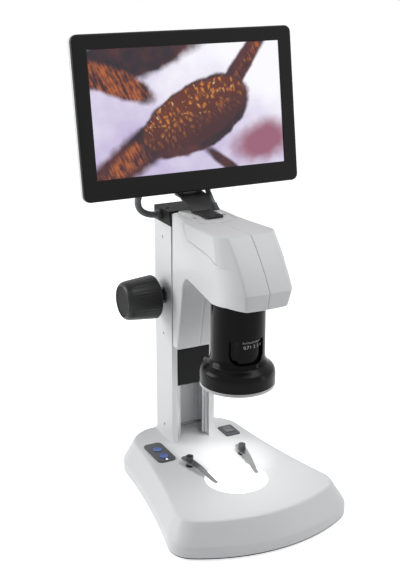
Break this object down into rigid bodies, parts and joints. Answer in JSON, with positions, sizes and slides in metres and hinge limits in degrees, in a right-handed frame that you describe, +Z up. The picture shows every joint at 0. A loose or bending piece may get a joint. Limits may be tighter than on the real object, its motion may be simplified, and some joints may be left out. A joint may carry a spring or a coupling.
{
  "type": "digital microscope with built-in screen",
  "caption": "Desktop digital microscope: a lit stage on a wide base, a rack-driven lens head with a ring light on a square column, and a flat screen that tilts on top.",
  "frame": {"origin": "on the table, under the middle of the base", "axes": "+Z up, +X to the right of a person at the front, +Y away from that person towards the column"},
  "size_m": [0.2476, 0.25, 0.4894],
  "materials": {
    "white_shell": "satin",
    "white_metal": "satin",
    "black_plastic": "satin",
    "steel": "brushed",
    "rubber": "matte",
    "dark_metal": "fine texture",
    "board": "satin",
    "brass": "machined",
    "milk_glass": "frosted",
    "grey_plastic": "satin",
    "clear_lamp": "gloss",
    "cast_grey": "satin",
    "carriage_alloy": "machined",
    "barrel_black": "black anodised",
    "gloss_black": "gloss",
    "diffuser_white": "frosted",
    "optic_glass": "polished",
    "knob_plastic": "satin",
    "knob_disc": "satin",
    "bezel_black": "satin",
    "screen_glass": "gloss",
    "blue_key": "gloss",
    "rocker_grey": "satin",
    "bright_steel": "polished"
  },
  "bodies": {
    "stand": {"base_housing": "white_shell", "base_plate": "dark_metal", "rubber_feet": "rubber", "base_screws": "steel", "stage_plate": "milk_glass", "stage_light_board": "board", "keypad_frame": "grey_plastic", "control_boards": "board", "status_lamp": "clear_lamp", "rocker_switch_frame": "grey_plastic", "power_inlet": "black_plastic", "clip_sockets": "brass", "column": "white_metal", "travel_stop_rod": "steel", "guide_rails": "carriage_alloy", "rail_screws": "steel", "column_cap": "cast_grey", "cap_screws": "steel", "screen_lead_gland": "rubber", "screen_lead": "rubber", "shaft_bushes": "brass"},
    "head": {"slide_carriage": "carriage_alloy", "focus_rack": "brass", "slide_cover_plate": "dark_metal", "cover_screws": "steel", "head_shell_left": "white_shell", "head_shell_right": "white_shell", "head_top_plate": "white_shell", "head_top_screws": "steel", "head_lead_gland": "rubber", "head_chassis": "carriage_alloy", "lens_barrel": "barrel_black", "ring_light_housing": "gloss_black", "ring_light_board": "board", "ring_diffuser": "diffuser_white", "lenses": "optic_glass", "camera_board": "board", "screen_bracket": "dark_metal", "tilt_pin": "steel", "head_lead": "rubber"},
    "focus_drive": {"pinion_shaft": "steel", "focus_knobs": "knob_plastic", "knob_caps": "knob_disc"},
    "zoom_ring": {"zoom_sleeve": "gloss_black"},
    "screen": {"screen_bezel": "bezel_black", "lcd_panel": "screen_glass", "backlight_tray": "carriage_alloy", "screen_rear_shell": "white_shell", "screen_screws": "steel", "display_board": "board", "tilt_leaf": "dark_metal", "lead_boots": "rubber"},
    "front_key": {"front_key": "blue_key"},
    "rear_key": {"rear_key": "blue_key"},
    "power_rocker": {"power_rocker": "rocker_grey"},
    "left_clip": {"left_clip_thumbscrew": "bright_steel", "left_clip_leaf": "bright_steel"},
    "right_clip": {"right_clip_thumbscrew": "bright_steel", "right_clip_leaf": "bright_steel"}
  },
  "joints": [
    {"name": "focus_slide", "type": "slide", "parent": "stand", "child": "head", "axis": [0, 0, 1], "range_m": [-0.012, 0.05], "deforming": ["screen_lead"]},
    {"name": "knob_turn", "type": "hinge", "parent": "stand", "child": "focus_drive", "pos_m": [0, 0.0893, 0.208], "axis": [1, 0, 0], "range_deg": [-360, 90]},
    {"name": "zoom_turn", "type": "hinge", "parent": "head", "child": "zoom_ring", "pos_m": [0, -0.032, 0.205], "axis": [0, 0, 1], "range_deg": [-45, 75]},
    {"name": "screen_tilt", "type": "hinge", "parent": "head", "child": "screen", "pos_m": [0, 0.07855, 0.32843], "axis": [-1, 0, 0], "range_deg": [-8, 25], "deforming": ["head_lead"]},
    {"name": "front_key_press", "type": "slide", "parent": "stand", "child": "front_key", "axis": [0, 0, -1], "range_m": [0, 0.0008], "stiffness_N_per_m": 1200},
    {"name": "rear_key_press", "type": "slide", "parent": "stand", "child": "rear_key", "axis": [0, 0, -1], "range_m": [0, 0.0008], "stiffness_N_per_m": 1200},
    {"name": "power_rocker_tip", "type": "hinge", "parent": "stand", "child": "power_rocker", "pos_m": [0.04575, 0.07175, 0.0365], "axis": [1, 0, 0], "range_deg": [-7, 7]},
    {"name": "left_clip_swivel", "type": "hinge", "parent": "stand", "child": "left_clip", "pos_m": [-0.032, 0.014, 0.0375], "axis": [0, 0, 1], "range_deg": [-60, 25]},
    {"name": "right_clip_swivel", "type": "hinge", "parent": "stand", "child": "right_clip", "pos_m": [0.032, 0.014, 0.0375], "axis": [0, 0, 1], "range_deg": [-25, 60]}
  ],
  "couplings": [
    {"joint": "knob_turn", "follows": "focus_slide", "rad_per_m": -125}
  ]
}
